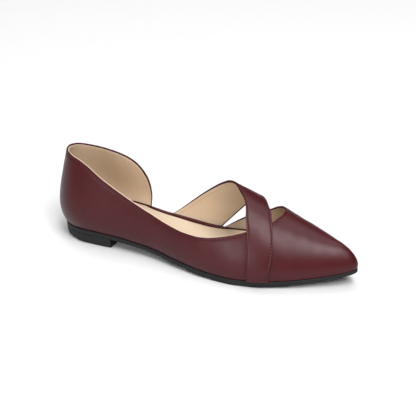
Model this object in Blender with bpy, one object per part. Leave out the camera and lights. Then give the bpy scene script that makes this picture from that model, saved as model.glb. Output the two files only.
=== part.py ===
"""Pointed flat shoe for the right foot: half open on the inner side, with one diagonal instep strap.

The shoe stands on its heel and on the ball of its sole, toe towards +X, outer (lateral) side
towards -Y, inner (medial) side towards +Y. Tables and sizes are in millimetres; meshes are in
metres. Everything is worked out from one last, a surface given by a short table of sections.
"""
import bmesh
import bpy
import numpy as np

# Scale and clearances, in millimetres
MM = 0.001
GAP = 0.3
MERGE = 1e-6
SHARP_ANGLE = np.radians(40)

# Driving sizes of the last: heel back at x = 0, toe tip of the feather edge at x = LENGTH
LENGTH = 262.0
HEEL_AXIS = 32.0
TOE_AXIS = 247.0
TOE_TAPER = 0.17
SWELL_STATIONS = (0, 120, 190, 250)
SWELL_HEIGHTS = (22, 18, 10, 7)

# One row per section of the last
# lateral, medial: feather edge from the straight axis; crown: ridge from the straight axis
# feather: height of the lateral feather edge; arch: extra lift of the medial edge
# bottom: height of the outsole's underside; ridge: height of the section's top
# swell: how far the wall swells out above the feather edge; power: fullness of the section
LAST_COLUMNS = ("x", "lateral", "medial", "crown", "feather", "arch", "bottom", "ridge", "swell", "power")
LAST = (
    (0, 27.5, 27.5, 0.0, 10.1, 0.0, 6.8, 123.3, 6.2, 2.40),
    (32, 27.5, 27.5, 0.0, 12.7, 0.4, 8.4, 123.3, 5.6, 1.55),
    (60, 27.0, 27.5, 0.5, 12.1, 3.4, 7.8, 109.3, 4.8, 1.60),
    (90, 28.0, 24.5, 1.5, 10.1, 4.4, 5.8, 93.3, 4.0, 1.80),
    (120, 34.0, 25.5, 2.5, 7.5, 3.4, 2.8, 78.3, 3.2, 2.00),
    (145, 38.5, 32.0, 3.0, 5.9, 1.6, 0.8, 67.8, 2.6, 2.10),
    (166, 39.5, 39.0, 3.5, 5.3, 0.0, 0.0, 60.3, 2.2, 2.20),
    (188, 36.0, 40.0, 4.0, 5.3, 0.0, 0.0, 52.8, 2.0, 2.20),
    (210, 28.0, 36.5, 4.0, 6.5, 0.0, 1.8, 44.8, 1.8, 2.10),
    (230, 18.3, 28.5, 4.5, 8.4, 0.0, 4.7, 38.1, 1.6, 2.10),
    (247, 8.7, 18.0, 5.0, 10.8, 0.0, 7.4, 32.9, 1.4, 2.10),
    (262, 0.0, 10.0, 5.0, 13.7, 0.0, 10.4, 29.8, 1.2, 2.10),
)

# Upper: wall, lateral topline and heel part of the medial topline as heights over the floor
WALL = 1.6
TOPLINE_COLUMNS = ("x", "height")
LATERAL_TOPLINE = (
    (0, 75.8),
    (12, 76.1),
    (23, 74.4),
    (32, 69.9),
    (45, 62.1),
    (60, 54.4),
    (75, 47.9),
    (90, 42.4),
    (102, 38.7),
    (114, 36.2),
    (125, 34.6),
    (136, 34.3),
    (148, 35.4),
    (160, 38.2),
    (180, 43.7),
)
MEDIAL_TOPLINE = (
    (0, 75.8),
    (7, 74.1),
    (12.5, 71.9),
    (17, 70.0),
    (22, 68.3),
    (30, 66.4),
)
# Rounded front edge of the medial quarter, from its straight foot up to the topline
FLAP_COLUMNS = ("height", "x")
FLAP_EDGE = (
    (19.3, 65.0),
    (25.5, 64.8),
    (33, 64.1),
    (41.5, 62.6),
    (50.0, 59.1),
    (57.0, 54.0),
    (61.7, 47.3),
    (64.8, 38.0),
    (66.4, 30.0),
)

# Throat of the vamp: where its edge lies, by the angle round the section from the feather edge (0)
# to the ridge (90); past the medial turn, and on the lateral side, the columns lean back from feet
# that spread forwards to the throat foot
THROAT_COLUMNS = ("angle", "x")
LATERAL_THROAT = (
    (48, 180.0),
    (59, 188.0),
    (70, 194.3),
    (80, 196.6),
    (90, 197.8),
)
MEDIAL_THROAT = (
    (2, 135.0),
    (7.5, 142.5),
    (12.5, 149.5),
    (20, 160.0),
    (31.5, 174.0),
    (40.5, 180.5),
    (52.5, 187.5),
    (62, 192.5),
    (72, 196.0),
    (90, 197.8),
)
THROAT_TURN = 31.5
THROAT_FOOT = 212.0

# Instep strap: its back and front edge and their rise off the last, by the angle round the section
# from the lateral feather edge (0) over the ridge (90) to the medial feather edge (180)
STRAP_THICK = 1.8
STRAP_COLUMNS = ("angle", "back", "front", "back_rise", "front_rise")
STRAP = (
    (1, 184.2, 200.8, 0.4, 0.4),
    (24, 182.4, 201.8, 0.4, 0.4),
    (45, 179.2, 200.0, 0.6, 0.5),
    (60, 174.5, 196.5, 1.2, 0.6),
    (72, 170.6, 192.8, 2.0, 0.8),
    (81, 165.5, 189.4, 2.3, 0.6),
    (90, 157.4, 184.0, 2.0, -0.1),
    (108, 147.1, 175.3, -0.5, -1.4),
    (124, 138.7, 168.0, -1.7, -1.9),
    (141, 127.2, 159.1, -1.8, -1.8),
    (157, 112.8, 149.5, -1.5, -1.5),
    (168, 100.8, 141.2, -1.2, -1.4),
    (179.8, 85.9, 131.2, -0.8, -1.3),
)

# Outsole, heel block, insole (its top over the feather edge, padded at the heel) and the covered
# insole edge of the open side
SOLE_LEDGE = 0.6
SOLE_EDGE_ROUND = 1.0
BALL_FLAT = (166.0, 188.0)
HEEL_BREAST = 54.0
HEEL_STEP = 20.0
HEEL_STEP_RUN = 0.8
HEEL_STEP_RISE = 0.7
HEEL_TAPER = 0.5
HEEL_EDGE_ROUND = 1.1
HEEL_EDGE_HEIGHT = 1.8
HEEL_EDGE_TURN = 0.3
INSOLE_COLUMNS = ("x", "rise")
INSOLE_TOP = (
    (0, 5.6),
    (40, 5.6),
    (48, 5.1),
    (60, 3.6),
    (72, 3.0),
    (105, 3.1),
    (125, 3.8),
    (153, 4.9),
    (175, 4.4),
    (200, 2.7),
    (262, 2.7),
)
INSOLE_INSET = WALL + 0.4
RAND_COLUMNS = ("x", "width", "height")
RAND = (
    (36, 0.8, 6.1),
    (48, 0.8, 5.6),
    (60, 1.0, 4.1),
    (68, 2.4, 3.7),
    (78, 3.0, 3.5),
    (98, 3.0, 4.2),
    (120, 3.0, 4.8),
    (130, 3.0, 4.9),
    (142, 1.6, 4.8),
    (156, 0.8, 5.5),
)
RAND_EDGE_ROUND = 0.6
RAND_EDGE_SHARE = 0.3
RAND_RUN_OUT = 5.0

# Mesh density
BODY_STEP = 7.0
FAN_STEPS = 8
FLAP_STEPS = 10
FLAP_SAMPLES = 100
THROAT_STEPS = 10
THROAT_RUN_STEPS = 8
STRAP_STEPS = 40
UPPER_ROWS = 12
ROW_CROWDING = 1.3
ACROSS = 8

# Finish: base colour, roughness
BURGUNDY = ((0.105, 0.018, 0.022, 1.0), 0.42)
BLACK_RUBBER = ((0.016, 0.016, 0.018, 1.0), 0.70)
BEIGE_LINING = ((0.720, 0.560, 0.390, 1.0), 0.60)


def smooth_table(rows, columns):
    """Monotone cubic through each column of a table whose first column is the station."""
    data = np.array(rows, float)
    stations = data[:, 0]
    step = np.diff(stations)

    def curve(values):
        slope = np.diff(values) / step
        tangent = np.zeros(len(stations))
        tangent[0] = slope[0]
        tangent[-1] = slope[-1]
        for i in range(1, len(stations) - 1):
            before, after = slope[i - 1], slope[i]
            if before * after > 0:
                w_before = 2 * step[i] + step[i - 1]
                w_after = step[i] + 2 * step[i - 1]
                tangent[i] = (w_before + w_after) / (w_before / before + w_after / after)

        def at(x):
            x = np.clip(x, stations[0], stations[-1])
            i = np.clip(np.searchsorted(stations, x, side="right") - 1, 0, len(step) - 1)
            t = (x - stations[i]) / step[i]
            return ((1 + 2 * t) * (1 - t) ** 2 * values[i]
                    + t * t * (3 - 2 * t) * values[i + 1]
                    + t * (1 - t) ** 2 * step[i] * tangent[i]
                    + t * t * (t - 1) * step[i] * tangent[i + 1])
        return at

    return {name: curve(data[:, i]) for i, name in enumerate(columns)}


last = smooth_table(LAST, LAST_COLUMNS)
lateral_topline = smooth_table(LATERAL_TOPLINE, TOPLINE_COLUMNS)["height"]
medial_topline = smooth_table(MEDIAL_TOPLINE, TOPLINE_COLUMNS)["height"]
lateral_throat = smooth_table(LATERAL_THROAT, THROAT_COLUMNS)["x"]
medial_throat = smooth_table(MEDIAL_THROAT, THROAT_COLUMNS)["x"]
strap_edge = smooth_table(STRAP, STRAP_COLUMNS)
flap_edge = smooth_table(FLAP_EDGE, FLAP_COLUMNS)["x"]
insole_rise = smooth_table(INSOLE_TOP, INSOLE_COLUMNS)["rise"]
rand_size = smooth_table(RAND, RAND_COLUMNS)


def feather_plan(u, side):
    """Axis point and feather point in plan of the column at station u; side is -1 lateral, +1 medial.

    Columns fan round the heel axis below HEEL_AXIS and round the toe axis above TOE_AXIS.
    """
    edge = last["lateral"] if side < 0 else last["medial"]
    if u < HEEL_AXIS:
        turn = (HEEL_AXIS - u) / HEEL_AXIS * np.pi / 2
        foot = (HEEL_AXIS * (1 - np.sin(turn)), side * edge(HEEL_AXIS) * np.cos(turn))
        return np.array((HEEL_AXIS, 0.0)), np.array(foot)
    if u <= TOE_AXIS:
        return np.array((u, last["crown"](u))), np.array((u, side * edge(u)))
    run = np.sin((u - TOE_AXIS) / (LENGTH - TOE_AXIS) * np.pi / 2)
    crown = last["crown"](TOE_AXIS)
    half = abs(side * edge(TOE_AXIS) - crown) * (1 - TOE_TAPER * run) * np.sqrt(max(1 - run, 0.0))
    return np.array((TOE_AXIS, crown)), np.array((TOE_AXIS + (LENGTH - TOE_AXIS) * run, crown + side * half))


def feather_height(x, side):
    return last["feather"](x) + (last["arch"](x) if side > 0 else 0.0)


def last_point(u, side, share):
    """Point of the last at station u, at a share of the rise from the feather edge to the ridge."""
    axis, foot = feather_plan(u, side)
    reach = np.hypot(*(foot - axis))
    outward = (foot - axis) / reach
    power = last["power"](foot[0])
    low = feather_height(foot[0], side)
    distance = reach * max(1 - share ** power, 0.0) ** (1 / power)
    z = low + (last["ridge"](axis[0] + outward[0] * distance) - low) * share
    climb = (z - low) / np.interp(foot[0], SWELL_STATIONS, SWELL_HEIGHTS)
    distance += last["swell"](foot[0]) * climb * np.exp(1 - climb) * (1 - share ** 2)
    plan = axis + outward * distance
    return np.array((plan[0], plan[1], z))


def share_at_angle(u, side, angle):
    """Share of the rise at an angle round the section, 0 at the feather edge and 90 at the ridge."""
    power = last["power"](feather_plan(u, side)[1][0])
    return np.sin(np.radians(angle)) ** (2 / power)


def angle_at_share(u, side, share):
    power = last["power"](feather_plan(u, side)[1][0])
    return np.degrees(np.arcsin(min(share, 1.0) ** (power / 2)))


def share_at_height(u, side, height):
    x = feather_plan(u, side)[1][0]
    low = feather_height(x, side)
    return (height - low) / (last["ridge"](u) - low)


def outline(u, side, inset):
    """Feather edge in plan, moved inwards at right angles to itself."""
    nudge = 0.01
    ahead = feather_plan(min(u + nudge, LENGTH), side)[1]
    behind = feather_plan(max(u - nudge, 0.0), side)[1]
    along = (ahead - behind) / np.hypot(*(ahead - behind))
    inwards = np.array((along[1], -along[0])) * side
    return feather_plan(u, side)[1] + inwards * inset


def seat_height(x, y, column):
    """Height of a sheet of the sole at a plan point: the table's column, lifted towards the arch."""
    lateral, medial = last["lateral"](x), last["medial"](x)
    across = np.clip((y + lateral) / (lateral + medial), 0.0, 1.0)
    lift = across * across * (3 - 2 * across)
    return last[column](x) + last["arch"](x) * lift


def fan_stations(start, end, steps):
    return list(np.linspace(start, end, steps + 1))


def body_stations(start, end):
    return list(np.linspace(start, end, int(round((end - start) / BODY_STEP)) + 1))


def joined(*runs):
    """Runs of stations in a row, each given once."""
    return sorted({round(float(u), 4) for run in runs for u in run})


def finish(name, material):
    """Principled material with the part's colour and roughness."""
    colour, roughness = material
    made = bpy.data.materials.new(name)
    made.use_nodes = True
    shader = made.node_tree.nodes["Principled BSDF"]
    shader.inputs["Base Color"].default_value = colour
    shader.inputs["Roughness"].default_value = roughness
    shader.inputs["Metallic"].default_value = 0.0
    return made


def mesh_object(name, points, faces, material):
    """Object from points in millimetres, with coincident points merged."""
    mesh = bpy.data.meshes.new(name)
    mesh.from_pydata([tuple(np.asarray(p) * MM) for p in points], [], faces)
    bm = bmesh.new()
    bm.from_mesh(mesh)
    bmesh.ops.remove_doubles(bm, verts=bm.verts, dist=MERGE)
    bm.to_mesh(mesh)
    bm.free()
    mesh.shade_smooth()
    mesh.set_sharp_from_angle(angle=SHARP_ANGLE)
    mesh.materials.append(finish(name, material))
    made = bpy.data.objects.new(name, mesh)
    bpy.context.scene.collection.objects.link(made)
    return made


def add_wall(made, thickness, outwards):
    """Give an open surface its thickness, inwards or outwards of its faces."""
    wall = made.modifiers.new("wall", "SOLIDIFY")
    wall.thickness = thickness * MM
    wall.offset = 1.0 if outwards else -1.0
    wall.use_rim = True
    split = made.modifiers.new("split", "TRIANGULATE")
    split.quad_method = "SHORTEST_DIAGONAL"


class Sheet:
    """Points and faces of one object, gathered from grids."""

    def __init__(self):
        self.points = []
        self.faces = []

    def grid(self, rows, flip=False):
        """Quads over a rectangular grid of points."""
        index = []
        for row in rows:
            index.append(list(range(len(self.points), len(self.points) + len(row))))
            self.points.extend(row)
        for a, b in zip(index, index[1:]):
            for k in range(len(a) - 1):
                quad = (a[k], b[k], b[k + 1], a[k + 1])
                self.faces.append(quad[::-1] if flip else quad)

    def face(self, ring, flip=False):
        """One face round a ring of points."""
        index = tuple(range(len(self.points), len(self.points) + len(ring)))
        self.points.extend(ring)
        self.faces.append(index[::-1] if flip else index)


def slab(name, stations, layers, material):
    """Closed plate between the two feather edges, from its top layer to its bottom layer.

    A layer is an inset function of station and side, and a height function of x and y.
    """
    sheet = Sheet()

    def crossing(u, inset, height):
        left = outline(u, -1, inset(u, -1))
        right = outline(u, 1, inset(u, 1))
        plan = [left + (right - left) * k / ACROSS for k in range(ACROSS + 1)]
        return [np.array((p[0], p[1], height(p[0], p[1]))) for p in plan]

    surfaces = [[crossing(u, *layer) for u in stations] for layer in layers]
    sheet.grid(surfaces[0])
    sheet.grid(surfaces[-1], flip=True)
    for edge in (0, -1):
        sheet.grid([[row[edge] for row in surface] for surface in surfaces], flip=edge == -1)
    for end in (0, -1):
        upper, lower = surfaces[0][end], surfaces[-1][end]
        if np.hypot(*(upper[0] - upper[-1])[:2]) < MERGE / MM:
            continue
        ring = list(upper)
        ring += [surface[end][-1] for surface in surfaces[1:-1]]
        ring += list(lower)[::-1]
        ring += [surface[end][0] for surface in surfaces[1:-1]][::-1]
        sheet.face(ring, flip=end == -1)
    return mesh_object(name, sheet.points, sheet.faces, material)


def even(inset):
    return lambda u, side: inset


def make_outsole():
    """Thin rubber sole with arch and toe spring, its lower edge rounded, flat under the ball."""
    stations = joined(fan_stations(0, HEEL_AXIS, FAN_STEPS), body_stations(HEEL_AXIS, BALL_FLAT[0]),
                      body_stations(*BALL_FLAT), body_stations(BALL_FLAT[1], TOE_AXIS),
                      fan_stations(TOE_AXIS, LENGTH, FAN_STEPS))
    layers = (
        (even(-SOLE_LEDGE), lambda x, y: seat_height(x, y, "feather") - GAP),
        (even(-SOLE_LEDGE), lambda x, y: seat_height(x, y, "bottom") + SOLE_EDGE_ROUND),
        (even(SOLE_EDGE_ROUND - SOLE_LEDGE), lambda x, y: seat_height(x, y, "bottom")),
    )
    return slab("outsole", stations, layers, BLACK_RUBBER)


def heel_floor(x, y):
    """Underside of the heel block: flat, with a low step up towards the back."""
    run = np.clip((x - HEEL_STEP) / HEEL_STEP_RUN, 0.0, 1.0)
    return HEEL_STEP_RISE * (1 - run)


def heel_station(x):
    """Station of the column whose feather point lies at x, behind the heel axis."""
    return HEEL_AXIS - HEEL_AXIS * np.arcsin(1 - x / HEEL_AXIS) / (np.pi / 2)


def make_heel():
    """Low block under the heel seat, with a straight breast and a rounded lower edge."""
    step = (HEEL_STEP, HEEL_STEP + HEEL_STEP_RUN)
    stations = joined(fan_stations(0, HEEL_AXIS, FAN_STEPS), [heel_station(x) for x in step],
                      body_stations(HEEL_AXIS, HEEL_BREAST))
    side = HEEL_TAPER - SOLE_LEDGE
    layers = (
        (even(-SOLE_LEDGE), lambda x, y: seat_height(x, y, "bottom") - GAP),
        (even(side), lambda x, y: heel_floor(x, y) + HEEL_EDGE_HEIGHT),
        (even(side + HEEL_EDGE_TURN * HEEL_EDGE_ROUND),
         lambda x, y: heel_floor(x, y) + HEEL_EDGE_TURN * HEEL_EDGE_HEIGHT),
        (even(side + HEEL_EDGE_ROUND), heel_floor),
    )
    return slab("heel", stations, layers, BLACK_RUBBER)


def rand_stations():
    """Stations along the covered edge, with every row of its table."""
    rows = [row[0] for row in RAND]
    return joined(body_stations(rows[0], rows[-1]), rows)


def rand_share(u):
    """How far the covered edge takes the place of the insole's own edge, 0 to 1."""
    rise = np.clip((u - RAND[0][0] + RAND_RUN_OUT) / RAND_RUN_OUT, 0.0, 1.0)
    fall = np.clip((RAND[-1][0] + RAND_RUN_OUT - u) / RAND_RUN_OUT, 0.0, 1.0)
    return min(rise, fall)


def insole_inset(u, side):
    if side < 0:
        return INSOLE_INSET
    return INSOLE_INSET + (rand_size["width"](u) + GAP) * rand_share(u)


def make_insole():
    """Footbed inside the upper, narrowed on the open side for its covered edge."""
    stations = joined(fan_stations(0, HEEL_AXIS, FAN_STEPS), body_stations(HEEL_AXIS, TOE_AXIS),
                      fan_stations(TOE_AXIS, LENGTH, FAN_STEPS), rand_stations(),
                      (RAND[0][0] - RAND_RUN_OUT, RAND[-1][0] + RAND_RUN_OUT))
    layers = (
        (insole_inset, lambda x, y: seat_height(x, y, "feather") + insole_rise(x)),
        (insole_inset, lambda x, y: seat_height(x, y, "feather")),
    )
    return slab("insole", stations, layers, BEIGE_LINING)


def rand_section(u):
    """Section of the covered edge at one station: inset and rise of each corner, its top softened."""
    width, height = rand_size["width"](u), rand_size["height"](u)
    corner = min(RAND_EDGE_ROUND, RAND_EDGE_SHARE * width)
    return (
        (0.0, 0.0),
        (0.0, height - corner),
        (corner, height),
        (width - corner, height),
        (width, height - corner),
        (width, 0.0),
    )


def make_rand():
    """Leather-covered edge of the insole along the open side, run out under the quarter and the vamp."""
    sheet = Sheet()
    rows = []
    for u in rand_stations():
        section = rand_section(u)
        row = []
        for inset, rise in section + section[:1]:
            x, y = outline(u, 1, INSOLE_INSET + inset)
            row.append(np.array((x, y, seat_height(x, y, "feather") + rise)))
        rows.append(row)
    sheet.grid(rows, flip=True)
    sheet.face(rows[0][:-1], flip=True)
    sheet.face(rows[-1][:-1])
    return mesh_object("rand", sheet.points, sheet.faces, BURGUNDY)


def topline_column(u, side, height):
    """Column of the upper at one station: foot station, edge station, edge angle."""
    return u, u, angle_at_share(u, side, share_at_height(u, side, height))


def throat_columns(angles, edge):
    """Columns up to the throat, their feet spread forwards so that they lean back to its edge."""
    stations = [edge(angle) for angle in angles]
    feet = np.linspace(stations[0], THROAT_FOOT, len(stations))
    return list(zip(feet, stations, angles))


def flap_columns():
    """Inner quarter, from the heel back to its rounded front edge."""
    foot, top = FLAP_EDGE[0][0], FLAP_EDGE[-1][0]
    heel = [u for u in fan_stations(0, HEEL_AXIS, FAN_STEPS) if u < flap_edge(top)]
    columns = [topline_column(u, 1, medial_topline(u)) for u in heel]
    height = np.linspace(top, foot, FLAP_SAMPLES)
    front = np.array([flap_edge(z) for z in height])
    length = np.concatenate(((0,), np.cumsum(np.hypot(np.diff(height), np.diff(front)))))
    for z in np.interp(np.linspace(0, length[-1], FLAP_STEPS + 1), length, height):
        columns.append(topline_column(flap_edge(z), 1, z))
    return columns


def toe_columns():
    """Closed columns of the vamp, from the throat to the toe tip."""
    ridge = body_stations(LATERAL_THROAT[-1][1], TOE_AXIS)
    feet = np.linspace(THROAT_FOOT, TOE_AXIS, len(ridge))
    tip = fan_stations(TOE_AXIS, LENGTH, FAN_STEPS)[1:]
    return [(foot, top, 90.0) for foot, top in zip(feet[1:], ridge[1:])] + [(u, u, 90.0) for u in tip]


def lateral_columns():
    """Heel back, outer quarter and outer half of the vamp."""
    start = LATERAL_TOPLINE[-1][0]
    low = joined(fan_stations(0, HEEL_AXIS, FAN_STEPS), body_stations(HEEL_AXIS, start))
    columns = [topline_column(u, -1, lateral_topline(u)) for u in low]
    edge = np.linspace(LATERAL_THROAT[0][0], 90, THROAT_STEPS + 1)
    return columns + throat_columns(edge, lateral_throat)[1:] + toe_columns()


def medial_vamp_columns():
    """Inner half of the vamp, from the foot of its edge."""
    run = np.linspace(MEDIAL_THROAT[0][0], THROAT_TURN, THROAT_RUN_STEPS + 1)[:-1]
    low = [(medial_throat(angle), medial_throat(angle), angle) for angle in run]
    edge = np.linspace(THROAT_TURN, 90, THROAT_STEPS + 1)
    return low + throat_columns(edge, medial_throat) + toe_columns()


def make_upper():
    """Vamp, outer quarter, heel and inner quarter as one wall, open at the topline and below."""
    sheet = Sheet()
    for side, columns in ((-1, lateral_columns()), (1, flap_columns()), (1, medial_vamp_columns())):
        rows = []
        for foot, edge, angle in columns:
            row = []
            for climb in np.linspace(0, 1, UPPER_ROWS + 1) ** ROW_CROWDING:
                u = foot + (edge - foot) * climb
                row.append(last_point(u, side, share_at_angle(u, side, angle * climb)))
            rows.append(row)
        sheet.grid(rows, flip=side > 0)
    made = mesh_object("upper", sheet.points, sheet.faces, BURGUNDY)
    add_wall(made, WALL, outwards=False)
    return made


def make_cross_strap():
    """Diagonal instep strap: laid on the outer wall, free over the instep, down to the inner arch."""
    angles = np.linspace(STRAP[0][0], STRAP[-1][0], STRAP_STEPS + 1)
    rows = []
    for angle in angles:
        side = -1 if angle <= 90 else 1
        rise_angle = angle if side < 0 else 180 - angle
        back, front = strap_edge["back"](angle), strap_edge["front"](angle)
        stations = [back + (front - back) * k / ACROSS for k in range(ACROSS + 1)]
        rows.append([last_point(u, side, share_at_angle(u, side, rise_angle)) for u in stations])
    grid = np.array(rows)
    normal = np.cross(np.gradient(grid, axis=1), np.gradient(grid, axis=0))
    normal /= np.linalg.norm(normal, axis=2, keepdims=True)
    back_rise = strap_edge["back_rise"](angles)[:, None]
    front_rise = strap_edge["front_rise"](angles)[:, None]
    rise = back_rise + (front_rise - back_rise) * np.linspace(0, 1, ACROSS + 1)
    sheet = Sheet()
    sheet.grid((grid + normal * rise[:, :, None]).tolist(), flip=True)
    made = mesh_object("cross_strap", sheet.points, sheet.faces, BURGUNDY)
    add_wall(made, STRAP_THICK, outwards=True)
    return made


def centre_on_floor(objects):
    """Move the meshes so that the middle of the shoe's own box is over the origin."""
    bpy.context.view_layer.update()
    depsgraph = bpy.context.evaluated_depsgraph_get()
    corners = []
    for made in objects:
        mesh = made.evaluated_get(depsgraph).to_mesh()
        corners += [v.co.copy() for v in mesh.vertices]
    low, high = np.min(corners, axis=0), np.max(corners, axis=0)
    middle = (low + high) / 2
    for made in objects:
        for v in made.data.vertices:
            v.co.x -= middle[0]
            v.co.y -= middle[1]


def main():
    for old in list(bpy.data.objects):
        bpy.data.objects.remove(old, do_unlink=True)
    makers = (make_outsole, make_heel, make_insole, make_rand, make_upper, make_cross_strap)
    centre_on_floor([make() for make in makers])


main()
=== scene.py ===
"""Looks of a pointed flat shoe for the right foot.

Burgundy leather upper and instep strap with a beige lining, a light footbed with a leather-covered
edge on the open inner side, a thin black rubber sole and a low rubber heel. Every piece is laid on
the same last as its solid, only finer. Tables and sizes are in millimetres on the last: heel back at
x = 0, toe towards +x, outer side towards -y. Meshes are in metres in the part's frame.
"""

import bpy
import numpy as np
from mathutils import Matrix, Vector, kdtree


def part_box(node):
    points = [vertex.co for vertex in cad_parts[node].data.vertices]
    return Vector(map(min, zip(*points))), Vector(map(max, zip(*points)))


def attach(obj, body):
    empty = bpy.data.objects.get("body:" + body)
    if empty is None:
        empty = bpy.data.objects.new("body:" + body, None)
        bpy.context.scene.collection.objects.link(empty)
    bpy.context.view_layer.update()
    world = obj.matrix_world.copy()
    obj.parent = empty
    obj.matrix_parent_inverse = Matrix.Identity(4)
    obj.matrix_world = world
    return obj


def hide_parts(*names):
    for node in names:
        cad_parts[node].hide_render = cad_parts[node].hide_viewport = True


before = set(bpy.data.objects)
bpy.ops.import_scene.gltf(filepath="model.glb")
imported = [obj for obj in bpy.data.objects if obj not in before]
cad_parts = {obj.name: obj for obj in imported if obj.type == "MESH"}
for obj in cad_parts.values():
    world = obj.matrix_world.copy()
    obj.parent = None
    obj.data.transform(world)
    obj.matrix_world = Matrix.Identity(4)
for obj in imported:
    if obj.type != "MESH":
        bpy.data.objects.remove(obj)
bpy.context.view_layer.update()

MM = 0.001
MERGE = 1e-6
RIDGE_ANGLE = 90.0
SMOOTH_ANGLE = 40.0

# The last: one row per section, as in the part's own source
LENGTH = 262.0
HEEL_AXIS = 32.0
TOE_AXIS = 247.0
TOE_TAPER = 0.17
SWELL_STATIONS = (0, 120, 190, 250)
SWELL_HEIGHTS = (22, 18, 10, 7)
LAST_COLUMNS = ("x", "lateral", "medial", "crown", "feather", "arch", "bottom", "ridge", "swell", "power")
LAST = (
    (0, 27.5, 27.5, 0.0, 10.1, 0.0, 6.8, 123.3, 6.2, 2.40),
    (32, 27.5, 27.5, 0.0, 12.7, 0.4, 8.4, 123.3, 5.6, 1.55),
    (60, 27.0, 27.5, 0.5, 12.1, 3.4, 7.8, 109.3, 4.8, 1.60),
    (90, 28.0, 24.5, 1.5, 10.1, 4.4, 5.8, 93.3, 4.0, 1.80),
    (120, 34.0, 25.5, 2.5, 7.5, 3.4, 2.8, 78.3, 3.2, 2.00),
    (145, 38.5, 32.0, 3.0, 5.9, 1.6, 0.8, 67.8, 2.6, 2.10),
    (166, 39.5, 39.0, 3.5, 5.3, 0.0, 0.0, 60.3, 2.2, 2.20),
    (188, 36.0, 40.0, 4.0, 5.3, 0.0, 0.0, 52.8, 2.0, 2.20),
    (210, 28.0, 36.5, 4.0, 6.5, 0.0, 1.8, 44.8, 1.8, 2.10),
    (230, 18.3, 28.5, 4.5, 8.4, 0.0, 4.7, 38.1, 1.6, 2.10),
    (247, 8.7, 18.0, 5.0, 10.8, 0.0, 7.4, 32.9, 1.4, 2.10),
    (262, 0.0, 10.0, 5.0, 13.7, 0.0, 10.4, 29.8, 1.2, 2.10),
)

# Points inside the shoe and under the strap, which the outer faces point away from
INSIDE = (120.0, 0.0, 25.0)
UNDER_STRAP = (150.0, 0.0, 20.0)

# Easing of the vamp into the round of the toe: reach, span, and the share of the rise where it is full
TOE_EASE = 5.0
TOE_EASE_SPAN = 14.0
TOE_EASE_FOOT = 0.35
TOE_EASE_SAMPLES = 9

# Edges of the upper: toplines as heights over the floor, throat as stations by section angle
TOPLINE_COLUMNS = ("x", "height")
LATERAL_TOPLINE = (
    (0, 75.8), (12, 76.1), (23, 74.4), (32, 69.9), (45, 62.1), (60, 54.4), (75, 47.9), (90, 42.4),
    (102, 38.7), (114, 36.2), (125, 34.6), (136, 34.3), (148, 35.4), (160, 38.2), (180, 43.7),
)
MEDIAL_TOPLINE = ((0, 75.8), (7, 74.1), (12.5, 71.9), (17, 70.0), (22, 68.3), (30, 66.4))
FLAP_FOOT = 0.4
FLAP_COLUMNS = ("height", "x")
FLAP_EDGE = (
    (19.3, 65.0), (25.5, 64.8), (33, 64.1), (41.5, 62.6), (50.0, 59.1), (57.0, 54.0), (61.7, 47.3),
    (64.8, 38.0), (66.4, 30.0),
)
THROAT_COLUMNS = ("angle", "x")
LATERAL_THROAT = ((48, 180.0), (59, 188.0), (70, 194.3), (80, 196.6), (90, 197.8))
MEDIAL_THROAT = (
    (2, 135.0), (7.5, 142.5), (12.5, 149.5), (20, 160.0), (31.5, 174.0), (40.5, 180.5),
    (52.5, 187.5), (62, 192.5), (72, 196.0), (90, 197.8),
)
THROAT_TURN = 31.5
THROAT_FRONT = 197.8
THROAT_FOOT = 225.0
THROAT_LEAN = 2.0

# Strap: back and front edge and the rise of each, by the angle round the section
STRAP_COLUMNS = ("angle", "back", "front", "back_rise", "front_rise")
STRAP = (
    (1, 184.2, 200.8, 0.4, 0.4),
    (24, 182.4, 201.8, 0.4, 0.4),
    (45, 179.2, 200.0, 0.6, 0.5),
    (60, 174.5, 196.5, 1.2, 0.6),
    (72, 170.6, 192.8, 2.0, 0.8),
    (81, 165.5, 189.4, 2.3, 0.6),
    (90, 157.4, 184.0, 2.0, -0.1),
    (108, 147.1, 175.3, -0.5, -1.4),
    (124, 138.7, 168.0, -1.7, -1.9),
    (141, 127.2, 159.1, -1.8, -1.8),
    (157, 112.8, 149.5, -1.5, -1.5),
    (168, 100.8, 141.2, -1.2, -1.4),
    (179.8, 85.9, 131.2, -0.8, -1.3),
)
STRAP_THICK = 1.8

# Leather and lining: wall, turned edge with its dark band, seam pressed beside it; the lining lies
# below the turned edge on the inner quarter and shows over it along the outer topline
WALL = 1.6
LINING = 0.4
LINING_LIFT_STATIONS = (0, 25)
LINING_LIFTS = (-0.5, 0.45)
LINING_DROP = 0.8
EDGE_ROUND = 0.5
EDGE_BAND = 0.5
SEAM_IN = 2.2
SEAM_DEPTH = 0.22
SEAM_HALF_WIDTH = 0.5
BEAD_RISE = 0.12
EDGE_ROWS = (0.0, 0.45, 0.9, 1.35, 1.8, 2.2, 2.6, 3.1, 3.8, 5.0, 7.0)
WALL_ROWS = 18
WALL_CROWDING = 0.85
WALL_BEVEL_SHARE = 0.3
WALL_BEVEL_ANGLE = 50.0
STRAP_EDGE_BAND = 0.35
STRAP_LINING = 0.3
STRAP_LINING_IN = (0.9, 1.5)
STRAP_LINING_START = 55.0

# Fineness of the leather sheets: steps along each stretch of the upper and of the strap
FLAP_STEPS = 45
HEEL_STEPS = 25
QUARTER_STEPS = (26, 62)
LATERAL_THROAT_STEPS = 26
MEDIAL_THROAT_STEPS = (19, 29)
TOE_STEPS = 19
COLUMN_STEPS = 81
COLUMN_CROWDING = 1.3
STRAP_STEPS = 121
STRAP_ACROSS_STEPS = 41
STRAP_INNER_STEPS = 9

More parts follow.
